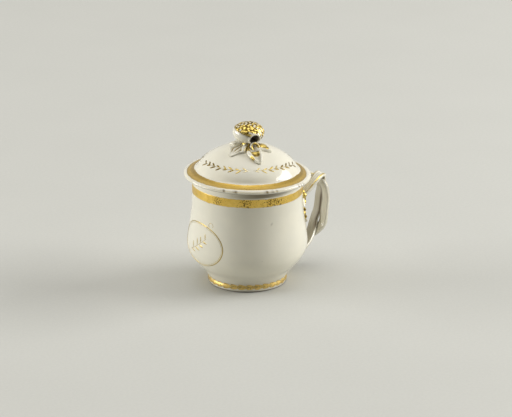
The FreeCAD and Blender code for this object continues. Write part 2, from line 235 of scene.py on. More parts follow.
def glaze_with_gold(name, gilding, bright=gold_bright, deep=gold_deep):
    """A glazed finish. The gilding function returns two masks: where the gold is, and where it is darkened
    by its pattern and by painted shade.
    """
    material = bpy.data.materials.new(name)
    tree = blank_nodes(material)
    place = add(tree, "TexCoord")
    spot = add(tree, "VectorMath", {0: place["Object"], "Scale": 1 / mm}, operation="SCALE")[0]

    # Clouds in the glaze are about 9 mm wide, and the surface ripples every 3 mm or so.
    cloud = add(tree, "TexNoise", {"Vector": spot, "Scale": 1 / 9, "Detail": 3.0})
    ripple = add(tree, "TexNoise", {"Vector": spot, "Scale": 1 / 3, "Detail": 2.0})
    # Gold wears in specks about half a millimetre wide with ragged edges.
    rub = add(tree, "Attribute", attribute_name="rub")
    grit = add(tree, "TexNoise", {"Vector": spot, "Scale": 1 / 0.6, "Detail": 3.0, "Roughness": 0.6})
    worn = add(tree, "Math", {0: rub["Fac"], 1: 0.25, 2: grit["Fac"]}, operation="MULTIPLY_ADD")
    thin = add(tree, "MapRange", {"Value": worn[0], "From Min": 0.64, "From Max": 0.69})
    gone = add(tree, "MapRange", {"Value": worn[0], "From Min": 0.84, "From Max": 0.92})

    # One dark speck shows every 7 mm or so, about a third of a millimetre wide.
    cells = add(tree, "TexVoronoi", {"Vector": spot, "Scale": 1 / 7})
    speck = add(tree, "MapRange", {
        "Value": cells["Distance"], "From Min": 0.018, "From Max": 0.032, "To Min": 0.5, "To Max": 0.0})

    white = add(tree, "Mix", {
        0: cloud["Fac"], 6: paint(glaze_white), 7: paint(glaze_cool)}, data_type="RGBA")
    # The hollow mark mixes in the grey of pooled glaze, which also serves as painted shade in recesses, on
    # inner faces and under overhangs. The bare mark mixes in bare clay, which also serves as painted shade
    # under the rim, between the straps and where the foot stands on the floor.
    hollow = add(tree, "Attribute", attribute_name="hollow")
    pooled_and_shaded = add(tree, "Mix", {0: hollow["Fac"], 6: white[2], 7: paint(glaze_pooled_and_shade)}, data_type="RGBA")
    bare_and_shade = add(tree, "Attribute", attribute_name="bare_and_shade")
    stain_and_shade = add(tree, "Math", {0: speck[0], 1: bare_and_shade["Fac"]}, operation="MAXIMUM")
    glaze = add(tree, "Mix", {0: stain_and_shade[0], 6: pooled_and_shaded[2], 7: paint(bare_clay_and_shade)}, data_type="RGBA")

    mask, shade = gilding(tree, spot, ripple["Fac"])
    leaf = add(tree, "Mix", {0: ripple["Fac"], 6: paint(bright), 7: paint(deep)}, data_type="RGBA")
    dark = add(tree, "Math", {0: thin[0], 1: shade}, operation="MAXIMUM")
    gold = add(tree, "Mix", {0: dark[0], 6: leaf[2], 7: paint(gold_rubbed)}, data_type="RGBA")
    left = add(tree, "Math", {0: gone[0], 1: -0.85, 2: 1.0}, operation="MULTIPLY_ADD")
    film = add(tree, "Math", {0: mask, 1: left[0]}, operation="MULTIPLY")
    colour = add(tree, "Mix", {0: film[0], 6: glaze[2], 7: gold[2]}, data_type="RGBA")
    metal = add(tree, "Math", {0: thin[0], 1: -0.3, 2: 1.0}, operation="MULTIPLY_ADD")
    metal = add(tree, "Math", {0: film[0], 1: metal[0]}, operation="MULTIPLY")
    # Dust that has settled in hollows dulls the gloss there.
    gloss = add(tree, "MapRange", {
        "Value": hollow["Fac"], "To Min": glaze_roughness, "To Max": dusty_roughness})
    smooth = add(tree, "MapRange", {"Value": film[0], "To Min": gloss[0], "To Max": gold_roughness})

    # The glaze ripples by a few hundredths of a millimetre, and the film stands about as high.
    height = add(tree, "Math", {0: ripple["Fac"], 1: 0.035, 2: 0.0}, operation="MULTIPLY_ADD")
    height = add(tree, "Math", {0: film[0], 1: 0.03, 2: height[0]}, operation="MULTIPLY_ADD")
    relief = add(tree, "Bump", {"Height": height[0], "Strength": 1.0, "Distance": mm})

    shader = add(tree, "BsdfPrincipled", {
        "Base Color": colour[2], "Metallic": metal[0], "Roughness": smooth[0], "Normal": relief[0],
        "IOR": glaze_refraction})
    add(tree, "OutputMaterial", {"Surface": shader[0]})
    print("mixed", name)
    return material


# %% [markdown]
# A gilt band is everything between two levels. The brush wavered by a few tenths of a millimetre,
# so a ripple moves the level up and down a little before it is compared with the band's edges.

# %% Masks: a band between two levels, or what the mesh itself marks as gilt
def band_mask(tree, waver, mark, low, high):
    """1 between two values of a mark of the mesh, with soft hand-painted edges."""
    level = add(tree, "Attribute", attribute_name=mark)
    # The ripple's mean is 0.5, so it lifts the level by 0.35 on the whole. Both edges allow for that.
    moved = add(tree, "Math", {0: waver, 1: 0.7, 2: level["Fac"]}, operation="MULTIPLY_ADD")
    rise = add(tree, "MapRange", {"Value": moved[0], "From Min": low + 0.27, "From Max": low + 0.43})
    fall = add(tree, "MapRange", {
        "Value": moved[0], "From Min": high + 0.27, "From Max": high + 0.43, "To Min": 1.0, "To Max": 0.0})
    return add(tree, "Math", {0: rise[0], 1: fall[0]}, operation="MULTIPLY")[0]


def marked_mask(tree, spot, waver):
    """Gold where the mesh's own mark says so, darkened where the hollow mark paints shade."""
    mark = add(tree, "Attribute", attribute_name="gilt")
    hollow = add(tree, "Attribute", attribute_name="hollow")
    edge = add(tree, "Math", {0: waver, 1: 0.5, 2: mark["Fac"]}, operation="MULTIPLY_ADD")
    mask = add(tree, "MapRange", {"Value": edge[0], "From Min": 0.65, "From Max": 0.85})
    return mask[0], hollow["Fac"]


# %% [markdown]
# ## The clay forms
# A thrown form is one outline turned about the wheel's axis. The outline is drawn as points and
# rounded with a smooth curve. No pot is truly round, so a shape function moves each
# turned point a little, and also tilts the mouth the way this one warped in the kiln.

# %% Helpers: smooth lines, smooth steps and directions
def smooth_through(points, steps):
    """A Catmull-Rom line through points, with a number of short steps between each two."""
    points = np.array(points, float)
    chain = np.vstack([2 * points[0] - points[1], points, 2 * points[-1] - points[-2]])
    line = []
    for before, start, finish, after in zip(chain, chain[1:], chain[2:], chain[3:]):
        for share in np.arange(steps) / steps:
            bend = 2 * before - 5 * start + 4 * finish - after
            twist = 3 * start - before - 3 * finish + after
            line.append((2 * start + (finish - before) * share + bend * share ** 2 + twist * share ** 3) / 2)
    line.append(points[-1])
    return np.array(line)


def eased(start, end, place):
    """A smooth step from 0 at start to 1 at end."""
    share = np.clip((place - start) / (end - start), 0, 1)
    return share * share * (3 - 2 * share)


def swell(start, full, fading, end, place):
    """Rises smoothly from 0 to 1, stays there, and falls to 0 again."""
    return eased(start, full, place) - eased(fading, end, place)


def unit(way):
    """The same direction with a length of 1."""
    return way / np.linalg.norm(way)


# %% Helper: a piece from points and faces
def make_piece(name, spots, faces, finish, body, nodes, marks):
    """A mesh from points in mm, with its finish and body. It stands for the named CAD nodes.
    A mark is one number for all points or a list with one for each."""
    mesh = bpy.data.meshes.new(name)
    mesh.from_pydata((np.array(spots) * mm).tolist(), [], faces)
    for mark, values in marks.items():
        layer = mesh.attributes.new(mark, "FLOAT", "POINT")
        layer.data.foreach_set("value", np.full(len(spots), values, np.float32))
    shaped = bmesh.new()
    shaped.from_mesh(mesh)
    bmesh.ops.recalc_face_normals(shaped, faces=shaped.faces)
    shaped.to_mesh(mesh)
    shaped.free()
    mesh.polygons.foreach_set("use_smooth", [True] * len(mesh.polygons))
    mesh.materials.append(finish)
    piece = put(name, mesh)
    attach(piece, body)
    for node in nodes:
        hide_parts(node)
    print(name, len(mesh.vertices), "points", len(mesh.polygons), "faces")


# %% Helpers: a turned form, and rings of points
def turned_form(outline, sides, shape):
    """Points and faces of an outline of (radius, level) turned about the axis."""
    angles = np.arange(sides) * 2 * pi / sides
    spots = []
    rings = []
    for radius, level in outline:
        start = len(spots)
        if radius < 1e-6:
            spots.append(shape(0.0, level, 0.0))
            rings.append([start] * sides)
        else:
            spots.extend(shape(radius, level, angle) for angle in angles)
            rings.append(list(range(start, start + sides)))
    faces = []
    for lower, upper in zip(rings, rings[1:]):
        for number in range(sides):
            after = (number + 1) % sides
            corners = [lower[number], lower[after], upper[after], upper[number]]
            faces.append([c for place, c in enumerate(corners) if c not in corners[:place]])
    return spots, faces


def ring_faces(rings, sides, closed=False):
    """Faces between rings of points. The two end rings get a lid, unless the tube closes on itself."""
    faces = []
    for ring in range(rings if closed else rings - 1):
        low = ring * sides
        high = (ring + 1) % rings * sides
        for side in range(sides):
            after = (side + 1) % sides
            faces.append((low + side, low + after, high + after, high + side))
    if not closed:
        faces.append(tuple(range(sides)))
        faces.append(tuple(range((rings - 1) * sides, rings * sides)))
    return faces


def join(spots, faces, more_spots, more_faces):
    """Adds points and faces to those of a piece."""
    faces.extend(tuple(corner + len(spots) for corner in face) for face in more_faces)
    spots.extend(more_spots)


def per_ring(outline, sides, values):
    """One value for each point of a turned form, from one value for each point of its outline."""
    spread = []
    for (radius, _), value in zip(outline, values):
        spread.extend([value] if radius < 1e-6 else [value] * sides)
    return spread


# %% [markdown]
# ### The cup
# The cup is a pear-shaped bowl on a low foot ring. The potter turned the foot from the leather-hard
# clay, a little rounded so that it catches the light, and wiped the glaze off its flat underside so
# that it wouldn't stick to the kiln shelf.

# %% Draw the cup's outline and turn it
mouth_level = 57.6
mouth_slope = tan(radians(1.8))
wall_outline = [
    (20.3, 3.8), (21.2, 5.0), (23.15, 8), (26.94, 12), (30.23, 17), (31.18, 22), (30.67, 28), (29.58, 35),
    (28.82, 42), (28.64, 48), (28.56, 53), (28.45, 56.4),
]
foot_outline = [
    (0, 2.2), (8, 2.2), (16.2, 2.2), (16.9, 1.9), (17.2, 1.2), (17.25, 0.3), (17.5, 0.0), (19.9, 0.0),
    (20.25, 0.15), (20.46, 0.5), (20.6, 1.1), (20.64, 1.7), (20.6, 2.3), (20.5, 2.9), (20.34, 3.4),
]
lip_outline = [(28.25, 57.2), (27.6, 57.55), (26.8, 57.55), (26.1, 57.2), (25.9, 56.4)]
inside_outline = [
    (25.92, 50), (26.15, 42), (26.95, 35), (28.05, 28), (28.55, 22), (27.6, 17), (24.3, 12), (20.2, 8.2),
    (15.5, 6.1), (8, 5.3), (0, 5.2),
]
cup_sides = 192


def cup_shape(radius, level, angle):
    """A point of the cup, a little out of round and with its mouth tilted."""
    round_share = 1 + 0.0012 * cos(2 * angle + 0.6) + 0.0008 * cos(3 * angle + 2)
    x = radius * round_share * cos(angle)
    y = radius * round_share * sin(angle)
    return x, y, level - mouth_slope * eased(44, mouth_level, level) * x


wall_line = smooth_through(wall_outline, 6)
cup_outline = np.vstack([
    foot_outline, wall_line, lip_outline, smooth_through(inside_outline, 5)])
cup_spots, cup_faces = turned_form(cup_outline, cup_sides, cup_shape)
print("the cup is", round(float(wall_line[:, 0].max()) * 2, 1), "mm wide at its belly")

# %% [markdown]
# The band under the mouth is worn in three places at the front, and the foot's band all round. The
# mesh carries that as a mark called rub, which is 1 where fingers and shelves rubbed most.

# %% Mark where the cup is bare, where it gets painted shade and where it is worn, and gild it
def patch(angle, centre, half_width):
    """1 at a direction round the cup, fading to 0 at a distance in degrees from it."""
    away = abs((degrees(angle) - centre + 180) % 360 - 180)
    return 1 - eased(0, half_width, away)


cup_rub = []
cup_under_rim_shade = []
for x, y, z in cup_spots:
    angle = atan2(y, x)
    # Painted shade darkens the wall at the front close under the cover's rim, where its overhang shades it.
    cup_under_rim_shade.append(eased(53.8, 54.6, z) * patch(angle, 252, 50))
    spots_worn = patch(angle, 203, 8) + patch(angle, 233, 13) + patch(angle, 263, 26) + patch(angle, 75, 25)
    cup_rub.append(min(spots_worn, 1) * 0.54 if z > 30 else 0.2)
cup_levels = [level for _, level in cup_outline]
# The foot ring's lowest edge is bare clay, and its dark colour is also painted shade where it meets the
# floor. The painted shade under the rim goes into the same mark.
cup_bare_and_shade = per_ring(cup_outline, cup_sides, [1 - eased(0.3, 0.8, level) for level in cup_levels])
for number, shaded in enumerate(cup_under_rim_shade):
    cup_bare_and_shade[number] = max(cup_bare_and_shade[number], 0.3 * shaded)
# Only the outside is painted, so the underside and the inside get a level that has no band.
under_count = 8
outside_count = len(foot_outline) + len(wall_line) + len(lip_outline)
painted_levels = [0.0] * under_count + cup_levels[under_count:outside_count]
painted_levels.extend([mouth_level] * (len(cup_levels) - outside_count))
# The gilder's hand rose a little along the front of the foot.
cup_marks = per_ring(cup_outline, cup_sides, painted_levels)
for number, (x, y, z) in enumerate(cup_spots):
    if z < 6:
        cup_marks[number] -= 0.4 * patch(atan2(y, x), 240, 75)
# One kiln speck is large enough to see, at the front of the wall.
speck_angle = radians(260.1)
speck_place = np.array([29.1 * cos(speck_angle), 29.1 * sin(speck_angle), 39.8])
cup_bare_and_shade[int(np.argmin(np.linalg.norm(np.array(cup_spots) - speck_place, axis=1)))] = 0.35

mouth_band_levels = (49.2, 53.35)
foot_band_levels = (1.2, 4.0)


def cup_gilding(tree, spot, waver):
    """The band under the mouth, and the narrow band of laurel on the foot."""
    mouth_band = band_mask(tree, waver, "level", *mouth_band_levels)
    foot_band = band_mask(tree, waver, "level", *foot_band_levels)
    # The foot's band is a chain of slanted leaves, 4.3 mm long each, that meet in its middle.
    parts = add(tree, "SeparateXYZ", {0: spot})
    angle = add(tree, "Math", {0: parts["Y"], 1: parts["X"]}, operation="ARCTAN2")
    level = add(tree, "Attribute", attribute_name="level")
    middle = add(tree, "Math", {0: level["Fac"], 1: 2.5}, operation="SUBTRACT")
    side = add(tree, "Math", {0: middle[0]}, operation="ABSOLUTE")
    slant = add(tree, "Math", {0: side[0], 1: 2.4}, operation="MULTIPLY")
    leaves = add(tree, "Math", {0: angle[0], 1: 30.0, 2: slant[0]}, operation="MULTIPLY_ADD")
    wave = add(tree, "Math", {0: leaves[0]}, operation="SINE")
    vein = add(tree, "MapRange", {
        "Value": wave[0], "From Min": -1.0, "From Max": -0.3, "To Min": 0.42, "To Max": 0.0})
    vein = add(tree, "Math", {0: vein[0], 1: foot_band}, operation="MULTIPLY")
    # The leaves' tips leave small white gaps along both edges of the band.
    gap = add(tree, "MapRange", {
        "Value": side[0], "From Min": 0.6, "From Max": 1.6, "To Min": -1.3, "To Max": 0.5})
    tips = add(tree, "Math", {0: wave[0], 1: gap[0]}, operation="GREATER_THAN")
    laurel = add(tree, "Math", {0: foot_band, 1: tips[0]}, operation="MULTIPLY")
    # Its gold has grown thin from years on the table, and some white shows through.
    laurel = add(tree, "Math", {0: laurel[0], 1: 0.9}, operation="MULTIPLY")
    mask = add(tree, "Math", {0: mouth_band, 1: laurel[0]}, operation="MAXIMUM")
    return mask[0], vein[0]


cup_finish = glaze_with_gold("glazed_porcelain_cup", cup_gilding)
make_piece("cup_bowl", cup_spots, cup_faces, cup_finish, "cup", ["cup_body"], {
    "level": cup_marks,
    "bare_and_shade": cup_bare_and_shade,
    "hollow": cup_under_rim_shade,
    "rub": cup_rub,
})

# %% [markdown]
# ### The cover
# The cover is a low dome with a flat sloping shoulder for the gilt band and a rolled rim. Below the
# rim a short tongue drops into the mouth and keeps it in place. It is drawn level and
# then tilted onto the cup's mouth, as the real one sits.

# %% Draw the cover's outline and turn it
dome_half_width = 28.0
dome_half_height = 18.6
dome_top = 16.3
inner_half_width = 25.4
inner_half_height = 16
inner_drop = 0.35
cover_tilt = radians(1.8)
cover_sides = 192


def dome_level(radius):
    """How high the dome stands over its rim at a distance from the axis."""
    return dome_top - dome_half_height + dome_half_height * sqrt(1 - (radius / dome_half_width) ** 2)


def seated(x, y, z):
    """A point of the level cover, put onto the tilted mouth of the cup."""
    return (x * cos(cover_tilt) + z * sin(cover_tilt), y,
            mouth_level - x * sin(cover_tilt) + z * cos(cover_tilt))


def cover_shape(radius, level, angle):
    """A point of the cover, never outside its true circle and a little uneven at the rim."""
    round_share = 1 - 0.001 * (1 + cos(2 * angle + 1.1)) - 0.0006 * (1 + cos(5 * angle))
    lift = 0.07 * cos(3 * angle + 0.4) * eased(24, 33, radius) * eased(0, 1, level)
    true_radius = radius * round_share
    return seated(true_radius * cos(angle), true_radius * sin(angle), level + lift)


dome_line = [(radius, dome_level(radius)) for radius in np.linspace(0, 26.2, 36)]
shoulder_line = [(26.6, dome_level(26.6) + 0.02), (27.2, 3.12), (28.4, 2.55), (29.6, 2.15), (30.4, 1.98)]
rim_line = [
    (30.9, 1.97), (31.5, 1.90), (32.1, 1.68), (32.6, 1.33), (32.92, 0.9), (33.0, 0.5), (32.95, 0.1),
    (32.75, -0.2), (32.3, -0.42), (31.8, -0.36), (31.2, -0.08), (29.5, 0.02), (26.0, 0.02), (25.45, -0.15),
    (25.4, -0.5), (25.4, -3.4),
    (25.15, -3.9), (24.6, -4.0), (23.9, -4.0), (23.4, -3.85), (23.2, -3.4), (23.2, 3.6), (23.0, 4.6),
]
inner_line = [
    (radius, dome_level(radius * dome_half_width / inner_half_width) * inner_half_height / dome_half_height
     - inner_drop) for radius in np.linspace(22.4, 0, 26)]
cover_outline = np.vstack([dome_line, shoulder_line, rim_line, inner_line])
cover_spots, cover_faces = turned_form(cover_outline, cover_sides, cover_shape)
print("the cover is", round(float(cover_outline[:, 0].max()) * 2, 1), "mm wide")

# %% [markdown]
# The mark called reach says how far from the axis a point is on the upper side only, so that
# the gilt band doesn't come through inside. The rim's edge has a few small brown chips.

# %% Gild the cover's shoulder and chip its rim
upper_count = len(dome_line) + len(shoulder_line) + 5
ring_reach = [radius if place < upper_count else 0.0 for place, (radius, _) in enumerate(cover_outline)]
cover_band_reach = (27.0, 31.45)
cover_band_middle = 29.2
# Each chip has a direction and a half width in degrees.
chips = [(213.5, 1.8), (224.5, 2.2), (253, 2.4), (258, 1.6), (262, 1.3), (289, 1.2), (293, 1.2), (297, 1.2)]
cover_reach = []
cover_rub = []
cover_chips_and_shade = []
reaches = per_ring(cover_outline, cover_sides, ring_reach)
levels = per_ring(cover_outline, cover_sides, [level for _, level in cover_outline])
for (x, y, z), level, ring in zip(cover_spots, levels, reaches):
    angle = atan2(y, x)
    reach = hypot(x, y)
    # The painted band runs a little wide at the front left, where the painter's wheel wobbled.
    wide = ring - 0.3 * cos(angle - radians(190))
    # Towards the back it is narrower on both sides.
    squeeze = 1 + 0.8 * patch(angle, 345, 45) + 0.6 * patch(angle, 118, 45)
    cover_reach.append(cover_band_middle + (wide - cover_band_middle) * squeeze)
    chip = max(patch(angle, centre, width) for centre, width in chips)
    at_edge = eased(32.0, 32.6, reach) * (level > 0.3)
    # The rim's underside is painted dark as the shade under its overhang.
    under_rim_shade = 0.8 * eased(31.0, 31.6, reach) * (level < -0.1)
    cover_chips_and_shade.append(max(chip * at_edge, under_rim_shade))
    cover_rub.append(0.1 + 0.25 * patch(angle, 20, 60))


def cover_gilding(tree, spot, waver):
    """The broad band round the cover's shoulder, painted darker over its inner half and at its outer edge,
    which leaves a painted highlight along its outer half.
    """
    mask = band_mask(tree, waver, "reach", *cover_band_reach)
    reach = add(tree, "Attribute", attribute_name="reach")
    inner_shade = add(tree, "MapRange", {
        "Value": reach["Fac"], "From Min": 28.4, "From Max": 29.6, "To Min": 0.5, "To Max": 0.22})
    edge = add(tree, "MapRange", {
        "Value": reach["Fac"], "From Min": 30.3, "From Max": 31.2, "To Min": 0.0, "To Max": 0.5})
    dark = add(tree, "Math", {0: inner_shade[0], 1: edge[0]}, operation="MAXIMUM")
    return mask, dark[0]


cover_finish = glaze_with_gold("glazed_porcelain_cover", cover_gilding)
make_piece("cover_dome", cover_spots, cover_faces, cover_finish, "cover", ["cover_shell"], {
    "reach": cover_reach,
    "rub": cover_rub,
    "bare_and_shade": cover_chips_and_shade,
})

# %% [markdown]
# ## The fruit
# The knop is a hollow fruit, pressed in a mould, with beads all over its upper part. It has a round
# vent, so that hot air could leave in the kiln. The mesh runs in rings round the vent: from the back
# of the fruit to the vent's lip, through the wall, and on over the hollow inside.

# %% Turn rings round the vent and raise the beads
fruit_radius = 8.3
fruit_half = 5.7
fruit_level = 22.9
vent_radius = 2.6
vent_turn = radians(260.6)
vent_dip = radians(14)
bead_count = 330
bead_height = 0.55
bead_spacing = 1.5
fruit_sides = 150
fruit_rings = 96

vent_way = way_of(vent_turn, -vent_dip)
vent_side = unit(np.cross([0, 0, 1], vent_way))
vent_up = np.cross(vent_way, vent_side)

golden_turn = pi * (3 - sqrt(5))
rows = np.arange(bead_count)
heights = 1 - 2 * (rows + 0.5) / bead_count
bead_ways = np.stack([
    np.sqrt(1 - heights ** 2) * np.cos(golden_turn * rows),
    np.sqrt(1 - heights ** 2) * np.sin(golden_turn * rows),
    heights,
], axis=1)
# The mould was cut by hand, so the beads are out of line and unequal. The gold is rubbed off the
# tops of four in ten.
by_hand = np.random.default_rng(7)
bead_ways = bead_ways + by_hand.normal(0, 0.045, bead_ways.shape)
bead_ways = bead_ways / np.linalg.norm(bead_ways, axis=1)[:, None]
bead_places = bead_ways * [fruit_radius, fruit_radius, fruit_half]
bead_rubbed = by_hand.random(bead_count) < 0.4
bead_rises = by_hand.uniform(0.55, 1.0, bead_count)


def fruit_way(turn, spread):
    """The direction at an angle round the vent's axis and an angle away from it."""
    flat = cos(turn) * vent_side + sin(turn) * vent_up
    return cos(spread) * vent_way + sin(spread) * flat


def skin_distance(way, radius, half):
    """How far an oblate form's skin is from its middle in a direction."""
    return 1 / sqrt((way[0] ** 2 + way[1] ** 2) / radius ** 2 + way[2] ** 2 / half ** 2)


def vent_spread(turn, radius, half, width):
    """The angle from the vent's axis at which the skin is a given distance from that axis."""
    low, high = 0.0, pi / 2
    for _ in range(40):
        middle = (low + high) / 2
        way = fruit_way(turn, middle)
        if skin_distance(way, radius, half) * sin(middle) < width:
            low = middle
        else:
            high = middle
    return low


def beaded(way):
    """1 on the fruit's beaded upper part, which comes lower down on the right."""
    return eased(-0.1, 0.12, way[2] + 0.35 * (way @ to_right))


fruit_spots = []
fruit_gilt = []
fruit_crevice_shade = []
for ring in range(fruit_rings):
    share = ring / (fruit_rings - 1)
    for side in range(fruit_sides):
        turn = 2 * pi * side / fruit_sides
        start = vent_spread(turn, fruit_radius, fruit_half, vent_radius)
        spread = start + (pi - 0.02 - start) * share ** 1.05
        way = fruit_way(turn, spread)
        place = way * skin_distance(way, fruit_radius, fruit_half)
        from_axis = float(np.linalg.norm(place - vent_way * (place @ vent_way)))
        facing = place @ vent_way > 0
        lip = exp(-((from_axis - 3.05) / 0.42) ** 2) if facing else 0.0
        clear = eased(3.1, 3.6, from_axis) if facing else 1.0
        bead_gaps = np.linalg.norm(bead_places - place, axis=1)
        bead = int(np.argmin(bead_gaps))
        dome = max(0.0, 1 - (float(bead_gaps[bead]) / (bead_spacing * 0.62)) ** 2)
        amount = beaded(way)
        raise_by = bead_height * amount * clear * (bead_rises[bead] * dome ** 0.6 - 0.62) - 0.14 + 0.5 * lip
        outward = unit(place / [fruit_radius ** 2, fruit_radius ** 2, fruit_half ** 2])
        fruit_spots.append(place + outward * raise_by)
        top = 0.8 * eased(0.4, 0.75, dome) * bead_rubbed[bead]
        fruit_gilt.append(amount * clear * (1 - top))
        # The hollow mark paints shade between the beads and along the edge of the beaded part.
        edge = 4 * amount * (1 - amount)
        between = amount * clear * (1 - eased(0.25, 0.75, dome))
        fruit_crevice_shade.append(min(1.0, 1.2 * between + 0.7 * edge))

# %% Carry the mesh on through the vent and round the hollow
bore_steps = [(2.5, 0.12), (2.4, 0.35), (2.35, 1.0), (2.35, 2.4), (2.35, 3.6)]
hollow_radius = 4.3
hollow_half = 3.4
pole_gap = 0.03
inner_rings = 14
fruit_turns = [2 * pi * side / fruit_sides for side in range(fruit_sides)]
bore = []
for width, depth in bore_steps:
    bore.append([
        vent_way * (edge @ vent_way - depth) + fruit_way(turn, pi / 2) * width
        for turn, edge in zip(fruit_turns, fruit_spots)])
for share in np.linspace(0, 1, inner_rings):
    ring = []
    for turn in fruit_turns:
        start = vent_spread(turn, hollow_radius, hollow_half, bore_steps[-1][0])
        way = fruit_way(turn, start + (pi - pole_gap - start) * share)
        ring.append(way * skin_distance(way, hollow_radius, hollow_half))
    bore.append(ring)
inside_spots = [spot for ring in reversed(bore) for spot in ring]
fruit_faces = ring_faces(len(bore) + fruit_rings, fruit_sides)
fruit_points = [seated(*(spot + [0, 0, fruit_level])) for spot in inside_spots + fruit_spots]

# The clay inside the vent is bare and brown. Painted shade darkens it further, less towards its right, where
# painted light makes it paler.
vent_inside_shade = []
for spot in inside_spots:
    painted_lit_side = eased(-0.3, 1.2, spot @ to_right) * eased(3.0, 4.4, spot @ vent_way)
    vent_inside_shade.append(1.0 - 0.8 * painted_lit_side)
relief_finish = glaze_with_gold("gilded_porcelain_relief", marked_mask, gold_pale, gold_olive)
make_piece("fruit", fruit_points, fruit_faces, relief_finish, "cover", ["fruit_knop"], {
    "gilt": [0.0] * len(inside_spots) + fruit_gilt,
    "bare_and_shade": [0.7] * len(inside_spots) + [0.0] * len(fruit_spots),
    "hollow": vent_inside_shade + fruit_crevice_shade,
    "rub": [0.0] * len(inside_spots) + [0.15] * len(fruit_spots),
})

# %% [markdown]
# Under the fruit a short stem holds it on the dome, and a curled end of that stem makes a small
# loop in front. Both were rolled between the fingers, so the loop is an uneven ring.

# %% Roll the stem and its loop
stem_outline = [(0, 15.4), (3.6, 15.4), (3.75, 16.0), (3.35, 16.6), (3.1, 17.3), (3.15, 18.0), (3.4, 18.8),
                (0, 18.8)]
stem_spots, stem_faces = turned_form(
    np.vstack([stem_outline[0], smooth_through(stem_outline[1:-1], 4), stem_outline[-1]]), 48,
    lambda radius, level, angle: seated(radius * cos(angle), radius * sin(angle), level))
# The stem sits under the fruit and gets a little painted shade.
make_piece("stem", stem_spots, stem_faces, relief_finish, "cover", ["knop_stalk"], {
    "gilt": 0.9, "hollow": 0.2, "rub": 0.3})

loop_turn = radians(263)
loop_lean = radians(25)
loop_radius = 2.05
loop_reach = 7.2
loop_thickness = 0.66
loop_out = way_of(loop_turn, 0)
loop_facing = way_of(loop_turn, loop_lean)
loop_side = np.cross([0, 0, 1], loop_out)
loop_rise = np.cross(loop_facing, loop_side)
loop_centre = loop_out * loop_reach + np.array([0, 0, dome_level(loop_reach) + 1.3])
loop_steps = 72
loop_sides = 20
loop_spots = []
loop_gilt = []
loop_shade = []
for step in range(loop_steps):
    turn = 2 * pi * step / loop_steps
    outward = cos(turn) * loop_side + sin(turn) * loop_rise
    thick = loop_thickness + 0.07 * cos(3 * turn + 1)
    for side in range(loop_sides):
        around = 2 * pi * side / loop_sides
        groove = 0.1 * max(0.0, cos(around)) ** 6
        offset = outward * cos(around) * (thick - groove)
        offset = offset + loop_facing * sin(around) * thick * 1.25
        loop_spots.append(seated(*(loop_centre + outward * loop_radius + offset)))
        loop_gilt.append(0.35 + 0.55 * float(cos(around) < 0.3))
        # The inner side of the loop's ring gets painted shade.
        loop_shade.append(0.3 * eased(0.2, -0.9, cos(around)))
loop_faces = ring_faces(loop_steps, loop_sides, closed=True)
make_piece("stem_loop", loop_spots, loop_faces, relief_finish, "cover", ["stalk_loop"], {
    "gilt": loop_gilt, "hollow": loop_shade, "rub": 0.25})

# %% [markdown]
# ## The leaves
# Each leaf was cut from thin clay, pressed over a finger or folded along its middle, and stuck to
# the dome with slip. One function makes any leaf: it needs the ground that the leaf lies on, how
# wide and high it is, and how its section runs from edge to edge.

# %% A leaf on any ground
leaf_steps = 40
leaf_across = 24
leaf_width_shares = smooth_through(
    [(0, 0.5), (0.18, 0.82), (0.4, 1.0), (0.6, 0.9), (0.8, 0.6), (0.93, 0.3), (1, 0.06)], 6)


def leaf_piece(name, ground, width, height, section, lobes, pattern, body, node):
    """A closed leaf. The ground gives a point and the way out of it, at a share of the length and mm aside.
    The section says how high it stands from its middle to its edge, and the pattern where its gold,
    its painted shade and its grooves are."""
    top = []
    bottom = []
    marks = {"gilt": [], "hollow": [], "rub": []}
    for step in range(leaf_steps + 1):
        share = step / leaf_steps
        half = width / 2 * float(np.interp(share, leaf_width_shares[:, 0], leaf_width_shares[:, 1]))
        half = half * (1 + 0.16 * cos(2 * pi * lobes * share))
        taper = 0.4 + 0.6 * sin(pi * min(share * 0.88 + 0.12, 1)) ** 0.7
        for column in range(leaf_across + 1):
            side = 2 * column / leaf_across - 1
            point, outward = ground(share, half * side)
            gilt, hollow, groove = pattern(share, side)
            rise = height * taper * section(abs(side)) - groove
            top.append(point + outward * max(rise, 0.1))
            bottom.append(point - outward * 0.5)
            marks["gilt"].append(gilt)
            marks["hollow"].append(hollow)
            marks["rub"].append(0.3)
    # The leaf's underside gets painted shade through the hollow mark.
    for mark, value in (("gilt", 0.0), ("hollow", 0.5), ("rub", 0.0)):
        marks[mark].extend([value] * len(bottom))
    row = leaf_across + 1
    under = len(top)
    faces = []
    for step in range(leaf_steps):
        for column in range(leaf_across):
            a = step * row + column
            faces.append((a, a + 1, a + row + 1, a + row))
            faces.append((a + under, a + under + row, a + under + row + 1, a + under + 1))
        for column in (0, leaf_across):
            a = step * row + column
            faces.append((a, a + row, a + row + under, a + under))
    for column in range(leaf_across):
        for step in (0, leaf_steps):
            a = step * row + column
            faces.append((a, a + 1, a + 1 + under, a + under))
    make_piece(name, top + bottom, faces, relief_finish, body, [node], marks)


# %% [markdown]
# The leaves round the fruit lie on the dome and follow it. The one in front is folded like a small
# boat, with gold in its hollow. The one to the left is broad, with dark veins that fan out to a white
# edge, and a short white lobe lies over it. The one to the right has two lobes and a white rim.
# The two behind the fruit are made like them.

